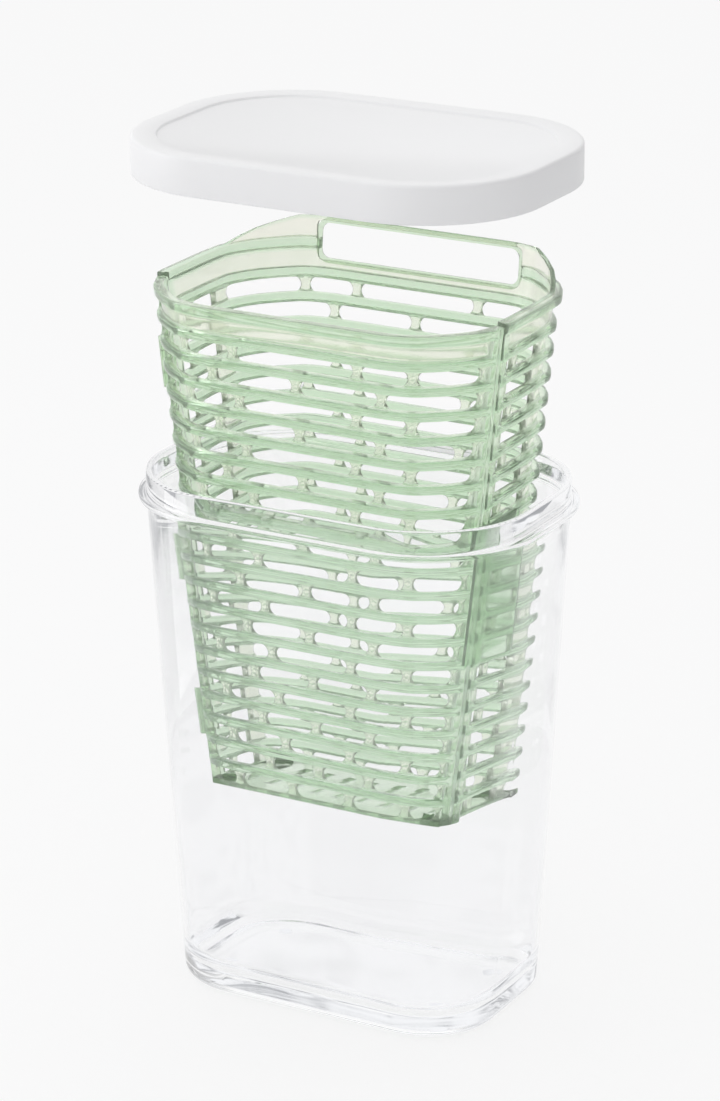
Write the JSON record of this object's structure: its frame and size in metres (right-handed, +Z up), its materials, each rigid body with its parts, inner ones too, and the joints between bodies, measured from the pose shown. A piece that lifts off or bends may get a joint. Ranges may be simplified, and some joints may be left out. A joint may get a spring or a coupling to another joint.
{
  "type": "herb keeper",
  "caption": "Tall clear kitchen keeper with a lift-out slotted basket, hinged at one seam, under a shallow white lid.",
  "frame": {"origin": "middle of the container's foot, on the surface that it stands on", "axes": "+Z up; +X along the long side, so that the basket's hinges are at -X and its latch plate at +X; the basket's front half faces -Y and its handle is at +Y"},
  "size_m": [0.1842, 0.1308, 0.3807],
  "materials": {
    "clear_plastic": "clear, polished",
    "white_plastic": "satin",
    "green_plastic": "translucent, glossy"
  },
  "bodies": {
    "container": {"container": "clear_plastic"},
    "basket": {"basket_rear": "green_plastic", "basket_front": "green_plastic", "hinge_pin_lower": "green_plastic", "hinge_pin_middle": "green_plastic", "hinge_pin_upper": "green_plastic"},
    "lid": {"lid": "white_plastic"}
  },
  "joints": [
    {"name": "basket_lift", "type": "slide", "parent": "container", "child": "basket", "axis": [0, 0, 1], "range_m": [-0.0887, 0.145]},
    {"name": "lid_lift", "type": "slide", "parent": "basket", "child": "lid", "axis": [0, 0, 1], "range_m": [-0.0499, 0.06]}
  ]
}
